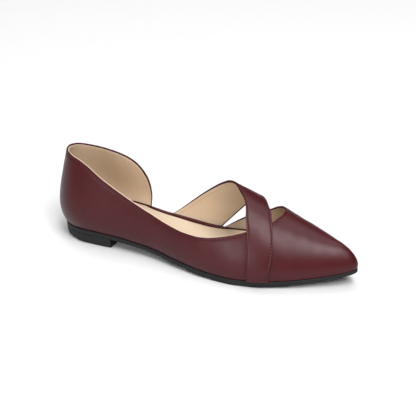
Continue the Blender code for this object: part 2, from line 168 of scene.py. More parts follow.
# Sole, heel, footbed and covered edge
SOLE_LEDGE = 0.6
SOLE_EDGE_ROUND = 0.6
SOLE_TOP_ROUND = 0.3
SOLE_GAP = 0.3
ROUND_TURNS = (30, 60, 90)
HEEL_GAP = 0.05
HEEL_BREAST = 54.0
HEEL_STEP = 20.0
HEEL_STEP_RUN = 0.8
HEEL_STEP_RISE = 0.7
HEEL_TAPER = 0.5
HEEL_EDGE_ROUND = 0.8
HEEL_EDGE_HEIGHT = 1.0
HEEL_BEVEL = 0.35
HEEL_BEVEL_ANGLE = 60.0
FOOTBED_COLUMNS = ("x", "rise")
FOOTBED_TOP = (
    (0, 5.6), (40, 5.6), (48, 5.1), (60, 3.6), (72, 3.0), (105, 3.1), (125, 3.8), (153, 4.9), (175, 4.4),
    (200, 2.7), (262, 2.7),
)
FOOTBED_INSET = 2.0
FOOTBED_CROWN = 0.35
FOOTBED_EDGE = 0.6
FOOTBED_ROLL = 0.018
FOOTBED_END = 6.0
FOOTBED_EDGE_SHARES = (0.0, 0.01, 0.025, 0.045)
FOOTBED_FLAT = (0.08, 0.92, 25)
RAND_COLUMNS = ("x", "width", "height")
RAND = (
    (36, 0.8, 6.1), (48, 0.8, 5.6), (60, 1.0, 4.1), (68, 2.4, 3.7), (78, 3.0, 3.5), (98, 3.0, 4.2),
    (120, 3.0, 4.8), (130, 3.0, 4.9), (142, 1.6, 4.8), (156, 0.8, 5.5),
)
RAND_ROUND = 0.7
RAND_ROUND_SHARE = 0.35
RAND_RUN_OUT = 5.0
TREAD_START = 142.0
TREAD_END = 222.0
TREAD_PITCH = 6.0
TREAD_DEPTH = 0.45
TREAD_MARGIN = 0.13
TREAD_FADE = 0.03
TREAD_RUN_OUT = 2.0
TREAD_BOW = 10.0
TREAD_RIB_START = 0.35
TREAD_RIB_SLOPE = 0.4

# Soft creases: side, (station, angle round the section) along each, depth, half width
CREASES = (
    (-1, ((203, 74), (208, 52), (214, 30)), 0.11, 3.6),
    (-1, ((213, 82), (220, 56), (226, 36)), 0.08, 3.4),
    (-1, ((172, 34), (170, 24), (167, 13)), 0.12, 3.6),
    (-1, ((146, 24), (150, 17), (153, 9)), 0.10, 3.4),
    (1, ((206, 76), (212, 54), (217, 32)), 0.11, 3.6),
)
CREASE_BANK = 0.45
CREASE_STEPS = 41

# Painted shade along the shoe: the lining darker in the heel cup and from under the instep to the toe, the
# footbed darker behind the strap than in front of it; stations and the share of the colour left there
LINING_PAINTED_SHADE = ((10, 0.72), (75, 1.0), (118, 0.96), (150, 0.72), (200, 0.62))
FOOTBED_PAINTED_SHADE = ((90, 0.70), (134, 0.72), (156, 1.0))

# Stitching: length, width and height of a stitch and of the dark spot of painted shade for a needle hole,
# pitch, seams from the edge
STITCH = (1.6, 0.60, 0.46)
HOLE_SHADE_SPOT = (1.25, 1.10, 0.40)
STITCH_PITCH = 2.5
STRAP_SEAM_IN = 1.6
LINING_SEAM_IN = 3.1
STRAP_LINING_SEAM_IN = 4.6

# Finishes: two tones of the mottle, roughness low and high, scales of grain and mottle, gloss
FINISHES = {
    "leather": dict(name="fine_grain_burgundy", dark=(0.043, 0.0041, 0.0062), light=(0.054, 0.0055, 0.0082),
                    roughness=(0.33, 0.42), grain=1500.0, mottle=28.0, specular=0.25),
    "edge": dict(name="dyed_cut_edge", dark=(0.042, 0.0058, 0.0082), light=(0.054, 0.0082, 0.0108),
                 roughness=(0.55, 0.65), grain=1800.0, mottle=60.0, specular=0.15),
    "lining": dict(name="soft_beige_lining", dark=(0.68, 0.518, 0.366), light=(0.73, 0.562, 0.402),
                   roughness=(0.55, 0.68), grain=2200.0, mottle=22.0, specular=0.25,
                   grain_strength=0.15, painted_shade_stops=LINING_PAINTED_SHADE),
    # pale cut edge of the lining, lightened further as a painted highlight where its top edge catches the
    # light
    "lining_edge_highlight": dict(name="cream_lining_rim_painted_highlight", dark=(0.76, 0.63, 0.48), light=(0.82, 0.69, 0.53),
                        roughness=(0.6, 0.7), grain=2200.0, mottle=40.0, specular=0.25, grain_strength=0.1),
    "footbed": dict(name="cream_footbed", dark=(0.662, 0.523, 0.375), light=(0.716, 0.576, 0.421),
                    roughness=(0.55, 0.66), grain=2000.0, mottle=20.0, specular=0.25,
                    grain_strength=0.18, painted_shade_stops=FOOTBED_PAINTED_SHADE),
    "rubber": dict(name="matt_black_rubber", dark=(0.0065, 0.0067, 0.0070), light=(0.0092, 0.0095, 0.0099),
                   roughness=(0.52, 0.64), grain=1300.0, mottle=45.0, specular=0.27, grain_strength=0.3),
    "thread": dict(name="burgundy_thread", dark=(0.090, 0.018, 0.024), light=(0.115, 0.026, 0.033),
                   roughness=(0.45, 0.60), grain=4000.0, mottle=300.0, specular=0.3),
    # dark spots of painted shade that stand for the shade inside the needle holes
    "hole_shade": dict(name="painted_shade_needle_spot", dark=(0.010, 0.0028, 0.0034), light=(0.015, 0.004, 0.005),
                        roughness=(0.7, 0.8), grain=4000.0, mottle=300.0, specular=0.05),
    "lining_thread": dict(name="beige_thread", dark=(0.42, 0.30, 0.19), light=(0.48, 0.35, 0.23),
                          roughness=(0.6, 0.75), grain=4000.0, mottle=300.0, specular=0.2),
}
RAMP_ENDS = (0.3, 0.7)
RUB_SCALE = 6.0
PORE_SCALE = 1.7
PORE_SHARE = 0.6
PEBBLE_HEIGHT = 0.00008
PORE_HEIGHT = 0.00006

# Studio: pale floor just under the sole, and square soft boxes aimed at the shoe (degrees, metres, watts)
FLOOR_SIZE = 3.0
FLOOR_DROP = 0.0003
FLOOR_TONE = 0.64
FLOOR_ROUGHNESS = 0.6
FLOOR_SPECULAR = 0.25
LIGHT_COLUMNS = ("name", "azimuth", "elevation", "distance", "size", "power")
LIGHTS = (
    ("key", 53.0, 54.0, 3.0, 1.7, 82.0),
    ("key_high", 58.0, 76.0, 3.0, 1.4, 34.0),
    ("overhead", 190.0, 72.0, 3.2, 2.6, 32.0),
    ("front_right", 38.0, 36.0, 3.4, 1.6, 9.0),
    ("front_left", -2.0, 21.0, 0.65, 0.34, 2.1),
    ("back", 192.0, 56.0, 3.4, 2.4, 30.0),
    ("left_rear", 242.0, 52.0, 3.4, 2.0, 33.0),
)

# Camera, from the photograph's fitted view: angles in degrees, distances on the last
VIEW_AZIMUTH = 25.0
VIEW_ELEVATION = 27.0
VIEW_CENTRE = (131.0, 0.0, 31.3)
VIEW_DISTANCE = 1000.0
VIEW_PAN = (1.6, 9.8)
VIEW_FOCAL_PIXELS = 1201.5
PICTURE_PIXELS = 416
SENSOR = 36.0


def smooth_table(rows, columns):
    """Monotone cubic through each column of a table whose first column is the station."""
    data = np.array(rows, float)
    stations = data[:, 0]
    step = np.diff(stations)

    def curve(values):
        slope = np.diff(values) / step
        tangent = np.zeros(len(stations))
        tangent[0] = slope[0]
        tangent[-1] = slope[-1]
        for i in range(1, len(stations) - 1):
            before, after = slope[i - 1], slope[i]
            if before * after > 0:
                w_before = 2 * step[i] + step[i - 1]
                w_after = step[i] + 2 * step[i - 1]
                tangent[i] = (w_before + w_after) / (w_before / before + w_after / after)

        def at(x):
            x = np.clip(x, stations[0], stations[-1])
            i = np.clip(np.searchsorted(stations, x, side="right") - 1, 0, len(step) - 1)
            t = (x - stations[i]) / step[i]
            return ((1 + 2 * t) * (1 - t) ** 2 * values[i]
                    + t * t * (3 - 2 * t) * values[i + 1]
                    + t * (1 - t) ** 2 * step[i] * tangent[i]
                    + t * t * (t - 1) * step[i] * tangent[i + 1])
        return at

    return {name: curve(data[:, i]) for i, name in enumerate(columns)}


last = smooth_table(LAST, LAST_COLUMNS)
lateral_topline = smooth_table(LATERAL_TOPLINE, TOPLINE_COLUMNS)["height"]
medial_topline = smooth_table(MEDIAL_TOPLINE, TOPLINE_COLUMNS)["height"]
lateral_throat = smooth_table(LATERAL_THROAT, THROAT_COLUMNS)["x"]
medial_throat = smooth_table(MEDIAL_THROAT, THROAT_COLUMNS)["x"]
strap_edge = smooth_table(STRAP, STRAP_COLUMNS)
flap_edge = smooth_table(FLAP_EDGE, FLAP_COLUMNS)["x"]
footbed_rise = smooth_table(FOOTBED_TOP, FOOTBED_COLUMNS)["rise"]
rand_size = smooth_table(RAND, RAND_COLUMNS)


def last_origin():
    """Heel back point of the last in the part's frame, read from the outsole's box."""
    low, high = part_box("outsole")
    widest = max(row[1] for row in LAST)
    return np.array((high.x - (LENGTH + SOLE_LEDGE) * MM, low.y + (widest + SOLE_LEDGE) * MM, 0.0))


ORIGIN = last_origin()


def feather_plan(u, side):
    """Axis point and feather point in plan of the columns at stations u; side -1 lateral, +1 medial."""
    u = np.asarray(u, float)
    edge = last["lateral"] if side < 0 else last["medial"]
    turn = np.clip((HEEL_AXIS - u) / HEEL_AXIS, 0, 1) * np.pi / 2
    run = np.sin(np.clip((u - TOE_AXIS) / (LENGTH - TOE_AXIS), 0, 1) * np.pi / 2)
    crown = last["crown"](TOE_AXIS)
    half = abs(side * edge(TOE_AXIS) - crown) * (1 - TOE_TAPER * run) * np.sqrt(1 - run)
    heel, toe = u < HEEL_AXIS, u > TOE_AXIS
    axis_x = np.clip(u, HEEL_AXIS, TOE_AXIS)
    axis_y = np.where(heel, 0.0, last["crown"](axis_x))
    foot_x = np.where(toe, TOE_AXIS + (LENGTH - TOE_AXIS) * run, u)
    foot_x = np.where(heel, HEEL_AXIS * (1 - np.sin(turn)), foot_x)
    foot_y = np.where(toe, crown + side * half, side * edge(u))
    foot_y = np.where(heel, side * edge(HEEL_AXIS) * np.cos(turn), foot_y)
    return np.stack((axis_x, axis_y), -1), np.stack((foot_x, foot_y), -1)


def feather_height(x, side):
    return last["feather"](x) + (last["arch"](x) if side > 0 else 0.0)


def last_points(u, side, share):
    """Points of the last at stations u, at shares of the rise from the feather edge to the ridge."""
    axis, foot = feather_plan(u, side)
    reach = np.linalg.norm(foot - axis, axis=-1)
    outward = (foot - axis) / reach[..., None]
    x = foot[..., 0]
    power = last["power"](x)
    low = feather_height(x, side)
    distance = reach * np.maximum(1 - share ** power, 0.0) ** (1 / power)
    z = low + (last["ridge"](axis[..., 0] + outward[..., 0] * distance) - low) * share
    climb = (z - low) / np.interp(x, SWELL_STATIONS, SWELL_HEIGHTS)
    distance = distance + last["swell"](x) * climb * np.exp(1 - climb) * (1 - share ** 2)
    plan = axis + outward * distance[..., None]
    return np.concatenate((plan, z[..., None]), -1)


def eased_points(u, side, share):
    """Points of the last, eased where the vamp's sections turn into the round of the toe."""
    near = np.clip(1 - np.abs(u - TOE_AXIS) / TOE_EASE_SPAN, 0, 1)
    reach = TOE_EASE * near * np.clip(share / TOE_EASE_FOOT, 0, 1)
    steps = np.linspace(-1, 1, TOE_EASE_SAMPLES)
    samples = [last_points(np.clip(u + reach * step, 0, LENGTH), side, share) for step in steps]
    return sum(samples) / len(samples)


def share_at_angle(u, side, angle):
    """Share of the rise at an angle round the section, 0 at the feather edge and 90 at the ridge."""
    power = last["power"](feather_plan(u, side)[1][..., 0])
    return np.sin(np.radians(angle)) ** (2 / power)


def angle_at_height(u, side, height):
    x = feather_plan(u, side)[1][..., 0]
    low = feather_height(x, side)
    share = np.clip((height - low) / (last["ridge"](u) - low), 0.0, 1.0)
    return np.degrees(np.arcsin(share ** (last["power"](x) / 2)))


def outline(u, side, inset):
    """Feather edge in plan, moved inwards at right angles to itself."""
    u = np.asarray(u, float)
    nudge = 0.01
    ahead = feather_plan(np.minimum(u + nudge, LENGTH), side)[1]
    behind = feather_plan(np.maximum(u - nudge, 0), side)[1]
    along = (ahead - behind) / np.linalg.norm(ahead - behind, axis=-1, keepdims=True)
    inwards = np.stack((along[..., 1], -along[..., 0]), -1) * side
    return feather_plan(u, side)[1] + inwards * np.asarray(inset)[..., None]


def seat_height(plan, column):
    """Height of a sheet of the sole at plan points: the table's column, lifted towards the arch."""
    x, y = plan[..., 0], plan[..., 1]
    lateral, medial = last["lateral"](x), last["medial"](x)
    across = np.clip((y + lateral) / (lateral + medial), 0.0, 1.0)
    return last[column](x) + last["arch"](x) * across * across * (3 - 2 * across)


def stations(*runs):
    """Stations along the shoe: each run is (start, end, steps)."""
    return np.unique(np.concatenate([np.linspace(a, b, n + 1) for a, b, n in runs]).round(4))


def select_only(piece):
    bpy.ops.object.select_all(action="DESELECT")
    piece.select_set(True)
    bpy.context.view_layer.objects.active = piece


def edit(piece, *steps):
    """Run mesh steps in edit mode with the whole piece selected before each."""
    select_only(piece)
    bpy.ops.object.mode_set(mode="EDIT")
    for step in steps:
        bpy.ops.mesh.select_all(action="SELECT")
        step()
    bpy.ops.object.mode_set(mode="OBJECT")


def apply_modifier(piece, kind, **settings):
    select_only(piece)
    modifier = piece.modifiers.new(kind.title(), kind)
    for name, value in settings.items():
        setattr(modifier, name, value)
    bpy.ops.object.modifier_apply(modifier=modifier.name)


def merge():
    bpy.ops.mesh.remove_doubles(threshold=MERGE)
    bpy.ops.mesh.select_all(action="SELECT")
    bpy.ops.mesh.dissolve_degenerate(threshold=MERGE)


def laid_sheet(name, points):
    """Flat grid whose corners are laid on an array of points, columns by rows, and merged."""
    columns, rows = points.shape[:2]
    bpy.ops.object.select_all(action="DESELECT")
    bpy.ops.mesh.primitive_grid_add(x_subdivisions=columns - 1, y_subdivisions=rows - 1, size=2.0)
    piece = bpy.context.object
    piece.name = piece.data.name = name
    flat = np.empty(3 * len(piece.data.vertices))
    piece.data.vertices.foreach_get("co", flat)
    flat = flat.reshape(-1, 3)
    column = np.rint((flat[:, 0] + 1) / 2 * (columns - 1)).astype(int)
    row = np.rint((flat[:, 1] + 1) / 2 * (rows - 1)).astype(int)
    piece.data.vertices.foreach_set("co", (points[column, row] * MM + ORIGIN).ravel())
    piece.data.update()
    edit(piece, merge)
    return piece


def face_away(piece, middle):
    """Turn an open sheet so that its faces point away from a point inside, in millimetres on the last."""
    centre = Vector(np.array(middle) * MM + ORIGIN)
    outward = sum(p.area * p.normal.dot(p.center - centre) for p in piece.data.polygons)
    if outward < 0:
        edit(piece, bpy.ops.mesh.flip_normals)


def closed_outwards():
    bpy.ops.mesh.normals_make_consistent(inside=False)


def smooth(piece, angle=SMOOTH_ANGLE):
    select_only(piece)
    bpy.ops.object.shade_smooth_by_angle(angle=np.radians(angle))


def give_wall(piece, thickness, back_slot=0):
    """Thickness inwards of the sheet's faces, with rounded rims in the edge's material."""
    apply_modifier(piece, "SOLIDIFY", thickness=thickness * MM, offset=-1.0, use_rim=True,
                   material_offset=back_slot, material_offset_rim=1)
    width = min(EDGE_ROUND, WALL_BEVEL_SHARE * thickness)
    apply_modifier(piece, "BEVEL", width=width * MM, segments=3, limit_method="ANGLE",
                   angle_limit=np.radians(WALL_BEVEL_ANGLE))
    smooth(piece)


def point_tree(line):
    """Search tree over points on the last."""
    tree = kdtree.KDTree(len(line))
    for i, point in enumerate(line * MM + ORIGIN):
        tree.insert(point, i)
    tree.balance()
    return tree


def edge_tree(edge):
    """Search tree over a line of points on the last, filled in between them."""
    steps = np.linspace(0, 1, 9)[:-1]
    return point_tree(np.concatenate([a + (b - a) * steps[:, None] for a, b in zip(edge, edge[1:])]))


def darken_band(piece, trees, band=EDGE_BAND):
    """Second material on the faces of the turned edge."""
    for face in piece.data.polygons:
        if min(tree.find(face.center)[2] for tree in trees) < band * MM:
            face.material_index = 1


def seam_relief(away, seam_in):
    """Height of a sewn edge at distances from it: a full bead, then the trough the stitches pull down."""
    bead = BEAD_RISE * np.exp(-((away - 0.5 * seam_in) / SEAM_HALF_WIDTH) ** 2)
    return bead - SEAM_DEPTH * np.exp(-((away - seam_in) / SEAM_HALF_WIDTH) ** 2)


def press_seam(piece, trees):
    """Press the seam's relief into a sheet beside its edges."""
    normals = [v.normal.copy() for v in piece.data.vertices]
    for v, normal in zip(piece.data.vertices, normals):
        away = min(tree.find(v.co)[2] for tree in trees) / MM
        v.co += normal * MM * seam_relief(away, SEAM_IN)
    piece.data.update()


def press_creases(piece):
    """Soft creases: a trough along each path, a low bank on both sides, run out at its ends."""
    normals = [v.normal.copy() for v in piece.data.vertices]
    for side, path, depth, half_width in CREASES:
        share = np.linspace(0, 1, CREASE_STEPS)
        knots = np.linspace(0, 1, len(path))
        u, angle = (np.interp(share, knots, values) for values in np.array(path, float).T)
        tree = point_tree(last_points(u, side, share_at_angle(u, side, angle)))
        for v, normal in zip(piece.data.vertices, normals):
            _, nearest, distance = tree.find(v.co)
            away = distance / MM / half_width
            bank = CREASE_BANK * np.exp(-(away - 2) ** 2)
            v.co += normal * MM * depth * np.sin(np.pi * share[nearest]) * (bank - np.exp(-away ** 2))
    piece.data.update()


def dress(piece, materials, replaces=None):
    """Give a finished piece its materials and its body, and hide the solid it replaces."""
    for material in materials:
        if material.name not in piece.data.materials:
            piece.data.materials.append(material)
    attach(piece, "root")
    if replaces:
        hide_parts(replaces)


# Materials

def new_material(name, colour, roughness, specular):
    material = bpy.data.materials.new(name)
    material.use_nodes = True
    shader = material.node_tree.nodes["Principled BSDF"]
    shader.inputs["Base Color"].default_value = (*colour, 1.0)
    shader.inputs["Roughness"].default_value = roughness
    shader.inputs["Specular IOR Level"].default_value = specular
    return material, material.node_tree.nodes, material.node_tree.links, shader


def noise(nodes, links, place, scale, detail=3.0, rough=0.55):
    made = nodes.new("ShaderNodeTexNoise")
    made.inputs["Scale"].default_value = scale
    made.inputs["Detail"].default_value = detail
    made.inputs["Roughness"].default_value = rough
    links.new(place.outputs["Object"], made.inputs["Vector"])
    return made.outputs["Fac"]


def ramp(nodes, links, source, low, high):
    """Spread a pattern between two values or two colours."""
    made = nodes.new("ShaderNodeValToRGB")
    for stop, position, colour in zip(made.color_ramp.elements, RAMP_ENDS, (low, high)):
        stop.position = position
        stop.color = (*colour, 1.0)
    links.new(source, made.inputs["Fac"])
    return made.outputs["Color"]


def bump(nodes, links, heights, shader):
    """Chain of bumps into a shader: each is (height, strength, distance in metres)."""
    before = None
    for height, strength, distance in heights:
        made = nodes.new("ShaderNodeBump")
        made.inputs["Strength"].default_value = strength
        made.inputs["Distance"].default_value = distance
        links.new(height, made.inputs["Height"])
        if before:
            links.new(before, made.inputs["Normal"])
        before = made.outputs["Normal"]
    links.new(before, shader.inputs["Normal"])


def cells(nodes, links, place, scale):
    """Pebble pattern: distance to the middle of each cell."""
    made = nodes.new("ShaderNodeTexVoronoi")
    made.inputs["Scale"].default_value = scale
    links.new(place.outputs["Object"], made.inputs["Vector"])
    return made.outputs["Distance"]


def painted_shade_tone(nodes, links, place, colour, painted_shade_stops):
    """Painted shade: deepen a colour along the shoe by a table of stations and shares."""
    split = nodes.new("ShaderNodeSeparateXYZ")
    links.new(place.outputs["Object"], split.inputs["Vector"])
    along = nodes.new("ShaderNodeMapRange")
    along.inputs["From Min"].default_value = ORIGIN[0]
    along.inputs["From Max"].default_value = ORIGIN[0] + LENGTH * MM
    links.new(split.outputs["X"], along.inputs["Value"])
    tone = nodes.new("ShaderNodeValToRGB")
    stops = tone.color_ramp.elements
    while len(stops) < len(painted_shade_stops):
        stops.new(0.5)
    for stop, (station, share) in zip(stops, painted_shade_stops):
        stop.position = station / LENGTH
        stop.color = (share, share, share, 1.0)
    links.new(along.outputs["Result"], tone.inputs["Fac"])
    deep = nodes.new("ShaderNodeVectorMath")
    deep.operation = "MULTIPLY"
    links.new(colour, deep.inputs[0])
    links.new(tone.outputs["Color"], deep.inputs[1])
    return deep.outputs["Vector"]


def grained(name, dark, light, roughness, grain, mottle, specular, grain_strength=0.25, painted_shade_stops=None):
    """Leather-like finish: mottled colour, uneven gloss and a fine pebbled grain, with painted shade along
    the shoe where a table is given.
    """
    material, nodes, links, shader = new_material(name, dark, roughness[0], specular)
    place = nodes.new("ShaderNodeTexCoord")
    blotch = noise(nodes, links, place, mottle)
    colour = ramp(nodes, links, blotch, dark, light)
    # painted shade along the shoe, from a table of stations and shares
    if painted_shade_stops:
        colour = painted_shade_tone(nodes, links, place, colour, painted_shade_stops)
    links.new(colour, shader.inputs["Base Color"])
    rub = noise(nodes, links, place, mottle * RUB_SCALE)
    uneven = ramp(nodes, links, rub, *((value,) * 3 for value in roughness))
    links.new(uneven, shader.inputs["Roughness"])
    pebble = cells(nodes, links, place, grain)
    pores = noise(nodes, links, place, grain * PORE_SCALE, detail=2.0)
    bump(nodes, links, ((pebble, grain_strength, PEBBLE_HEIGHT),
                        (pores, grain_strength * PORE_SHARE, PORE_HEIGHT)), shader)
    return material


def make_materials():
    return {key: grained(**finish) for key, finish in FINISHES.items()}


# Upper

def flap_columns(drop):
    """Inner quarter: feet along the feather edge, edge points from its front foot up to the topline."""
    front, top = FLAP_EDGE[0][1], FLAP_EDGE[-1][0]
    z = np.linspace(FLAP_EDGE[0][0], top, 200)
    x = np.concatenate(((front,), flap_edge(z)))
    z = np.concatenate(((feather_height(front, 1) + FLAP_FOOT,), z))
    length = np.concatenate(((0,), np.cumsum(np.hypot(np.diff(x), np.diff(z)))))
    steps = np.linspace(0, length[-1], FLAP_STEPS)
    edge, height = np.interp(steps, length, x), np.interp(steps, length, z)
    feet = np.linspace(front, FLAP_EDGE[-1][1], len(edge))
    return [(1, f, e, angle_at_height(e, 1, h), 1.0, drop) for f, e, h in zip(feet, edge, height)]


def straight_columns(side, runs, height):
    """Columns at right angles to the feather edge, up to a topline."""
    return [(side, u, u, angle_at_height(u, side, height(u)), 1.0, 0.0) for u in runs]


def throat_columns(side, angles, edge, drop):
    """Columns that lean back to the throat from feet spread forwards."""
    tops = edge(np.asarray(angles))
    feet = np.linspace(tops[0], THROAT_FOOT, len(tops))
    return [(side, f, t, a, THROAT_LEAN, drop) for f, t, a in zip(feet, tops, angles)]


def toe_columns(side):
    """Closed columns of the vamp, from the throat to the toe tip; crowded at the throat."""
    near = THROAT_FRONT + np.array(EDGE_ROWS[1:])
    ridge = np.concatenate((near, np.linspace(near[-1], TOE_AXIS, TOE_STEPS)[1:]))
    share = (ridge - THROAT_FRONT) / (TOE_AXIS - THROAT_FRONT)
    feet = THROAT_FOOT + (TOE_AXIS - THROAT_FOOT) * share
    lean = THROAT_LEAN + (1 - THROAT_LEAN) * share
    tip = np.linspace(TOE_AXIS, LENGTH, TOE_STEPS)[1:]
    leaning = [(side, f, r, RIDGE_ANGLE, p, 0.0) for f, r, p in zip(feet, ridge, lean)]
    return leaning + [(side, u, u, RIDGE_ANGLE, 1.0, 0.0) for u in tip]


def upper_columns(lining=False):
    """All columns in one round: inner quarter, heel, outer quarter, toe, inner vamp.

    Each is (side, foot station, edge station, edge angle, lean, drop of the sheet below its edge).
    The lining drops below the turned edge, but rises over it along the outer topline.
    """
    drop = LINING_DROP if lining else 0.0
    lifts = np.array(LINING_LIFTS) * lining

    def outer_topline(u):
        return lateral_topline(u) + np.interp(u, LINING_LIFT_STATIONS, lifts)

    def inner_topline(u):
        return medial_topline(u) - drop

    heel_inside = np.linspace(FLAP_EDGE[-1][1], 0, HEEL_STEPS)[1:]
    quarter_front = LATERAL_THROAT[0][1]
    outside = stations((0, HEEL_AXIS, QUARTER_STEPS[0]), (HEEL_AXIS, quarter_front, QUARTER_STEPS[1]))[1:]
    lateral_edge = np.linspace(LATERAL_THROAT[0][0], RIDGE_ANGLE, LATERAL_THROAT_STEPS)
    medial_run = np.linspace(MEDIAL_THROAT[0][0], THROAT_TURN, MEDIAL_THROAT_STEPS[0])[:-1]
    medial_edge = np.linspace(THROAT_TURN, RIDGE_ANGLE, MEDIAL_THROAT_STEPS[1])
    inner_vamp = [(1, medial_throat(a), medial_throat(a), a, 1.0, drop) for a in medial_run]
    inner_vamp += throat_columns(1, medial_edge, medial_throat, drop)
    return (flap_columns(drop) + straight_columns(1, heel_inside, inner_topline)
            + straight_columns(-1, outside, outer_topline)
            + throat_columns(-1, lateral_edge, lateral_throat, drop)[1:] + toe_columns(-1)
            + toe_columns(1)[::-1] + inner_vamp[::-1])


def column_curve(side, foot, edge, angle, lean):
    """Points of one column from its edge down to its foot."""
    climb = np.linspace(1, 0, COLUMN_STEPS) ** COLUMN_CROWDING
    u = foot + (edge - foot) * climb ** lean
    return eased_points(u, side, share_at_angle(u, side, angle * climb))


def along_curve(curve, distances):
    length = np.concatenate(((0,), np.cumsum(np.linalg.norm(np.diff(curve, axis=0), axis=1))))
    return np.stack([np.interp(distances, length, curve[:, k]) for k in range(3)], -1), length[-1]


def upper_sheet_points(columns):
    """Rows of each column, set by their distance from the edge."""
    curves = [column_curve(*column[:-1]) for column in columns]
    edge = np.array([curve[0] for curve in curves])
    along = np.gradient(edge, axis=0)
    along /= np.maximum(np.linalg.norm(along, axis=1, keepdims=True), 1e-6)
    near = np.array(EDGE_ROWS)
    rows = []
    for curve, tangent, column in zip(curves, along, columns):
        down = (curve[2] - curve[0]) / np.linalg.norm(curve[2] - curve[0])
        slant = np.clip(np.linalg.norm(np.cross(down, tangent)), 0.5, 1.0)
        length = along_curve(curve, [0.0])[1]
        close = (near + column[-1]) / slant * min(1.0, 0.5 * length / (near[-1] / slant))
        spread = (np.arange(1, WALL_ROWS + 1) / WALL_ROWS) ** WALL_CROWDING
        rest = close[-1] + (length - close[-1]) * spread
        rows.append(along_curve(curve, np.concatenate((close, rest)))[0])
    return np.array(rows)


def open_edges(columns, edge):
    """The topline with the inner quarter's front, and the throat, as two lines of points."""
    closed = [i for i, (_, _, station, angle, _, _) in enumerate(columns)
              if angle >= RIDGE_ANGLE and station > THROAT_FRONT]
    return edge[:closed[0]], edge[closed[-1] + 1:]


def make_upper(finish):
    columns = upper_columns()
    points = upper_sheet_points(columns)
    edges = open_edges(columns, points[:, 0])
    trees = [edge_tree(edge) for edge in edges]
    leather = laid_sheet("upper_leather", points)
    face_away(leather, INSIDE)
    press_creases(leather)
    press_seam(leather, trees)
    dress(leather, (finish["leather"], finish["edge"]), "upper")
    darken_band(leather, trees)
    give_wall(leather, WALL, back_slot=1)

    columns = upper_columns(lining=True)
    points = upper_sheet_points(columns)
    lining = laid_sheet("upper_lining", points)
    face_away(lining, INSIDE)
    apply_modifier(lining, "DISPLACE", strength=-WALL * MM, mid_level=0.0)
    dress(lining, (finish["lining"], finish["lining_edge_highlight"]))
    give_wall(lining, LINING)
    outside = open_edges(columns, points[:, EDGE_ROWS.index(SEAM_IN)])
    inside = open_edges(columns, points[:, EDGE_ROWS.index(LINING_SEAM_IN)])
    return leather, lining, list(zip(outside, inside))


# Strap

def strap_grid():
    """Bottom face of the strap on the last and its outward direction, along by across."""
    angles = np.linspace(STRAP[0][0], STRAP[-1][0], STRAP_STEPS)
    across = np.linspace(0, 1, STRAP_ACROSS_STEPS)
    rows = []
    for angle in angles:
        side = -1 if angle <= RIDGE_ANGLE else 1
        climb = angle if side < 0 else 180 - angle
        back, front = strap_edge["back"](angle), strap_edge["front"](angle)
        u = back + (front - back) * across
        rows.append(last_points(u, side, share_at_angle(u, side, climb)))
    grid = np.array(rows)
    outward = np.cross(np.gradient(grid, axis=1), np.gradient(grid, axis=0))
    outward /= np.linalg.norm(outward, axis=2, keepdims=True)
    if outward[STRAP_STEPS // 2, STRAP_ACROSS_STEPS // 2, 2] < 0:
        outward = -outward
    back_rise = strap_edge["back_rise"](angles)[:, None]
    front_rise = strap_edge["front_rise"](angles)[:, None]
    rise = back_rise * (1 - across) + front_rise * across
    return angles, grid + outward * rise[..., None], outward


def across_strap(values, width, distances):
    """Sample each row of a strap grid at distances from its back edge."""
    share = np.clip(np.asarray(distances) / width[:, None], 0, 1) * (values.shape[1] - 1)
    low = np.clip(share.astype(int), 0, values.shape[1] - 2)
    part = (share - low)[..., None]
    row = np.arange(len(values))[:, None]
    return values[row, low] * (1 - part) + values[row, low + 1] * part


def strap_rows(width, margins=(0.0, 0.0)):
    """Distances from the back edge: close rows beside both edges, even ones between."""
    near = np.array(EDGE_ROWS[:-1])
    back, front = near + margins[0], near[::-1] + margins[1]
    between = np.linspace(0, 1, STRAP_INNER_STEPS)[1:-1]
    inner = width - back[-1] - front[0]
    return np.concatenate((np.broadcast_to(back, (len(width), len(back))),
                           back[-1] + inner[:, None] * between, width[:, None] - front), 1)


def make_strap(finish):
    angles, bed, outward = strap_grid()
    width = np.linalg.norm(np.diff(bed, axis=1), axis=2).sum(1)
    rows = strap_rows(width)
    away = np.minimum(rows, width[:, None] - rows)
    relief = STRAP_THICK + seam_relief(away, STRAP_SEAM_IN)
    face = across_strap(bed, width, rows)
    up = across_strap(outward, width, rows)
    points = face + up * relief[..., None]
    leather = laid_sheet("strap_leather", points)
    face_away(leather, UNDER_STRAP)
    dress(leather, (finish["leather"], finish["edge"]), "cross_strap")
    darken_band(leather, [edge_tree(points[:, end]) for end in (0, -1)], STRAP_EDGE_BAND)
    give_wall(leather, STRAP_THICK, back_slot=1)

    lined = angles > STRAP_LINING_START
    rows = strap_rows(width[lined], STRAP_LINING_IN)
    inside = across_strap(bed[lined], width[lined], rows)
    lining = laid_sheet("strap_lining", inside)
    face_away(lining, UNDER_STRAP)
    dress(lining, (finish["lining"], finish["lining_edge_highlight"]))
    give_wall(lining, STRAP_LINING)
    return leather, lining, bed, outward, width, lined


# Footbed, covered edge, sole and heel

def rand_share(u):
    """How far the covered edge takes the place of the footbed's own edge, 0 to 1."""
    rise = np.clip((u - RAND[0][0] + RAND_RUN_OUT) / RAND_RUN_OUT, 0, 1)
    fall = np.clip((RAND[-1][0] + RAND_RUN_OUT - u) / RAND_RUN_OUT, 0, 1)
    return np.minimum(rise, fall)


def crossing(u, lateral_inset, medial_inset, shares):
    """Plan points from the lateral to the medial outline at each station."""
    left = outline(u, -1, np.full(len(u), lateral_inset))
    right = outline(u, 1, np.broadcast_to(medial_inset, len(u)))
    return left[:, None] + (right - left)[:, None] * shares[:, None]


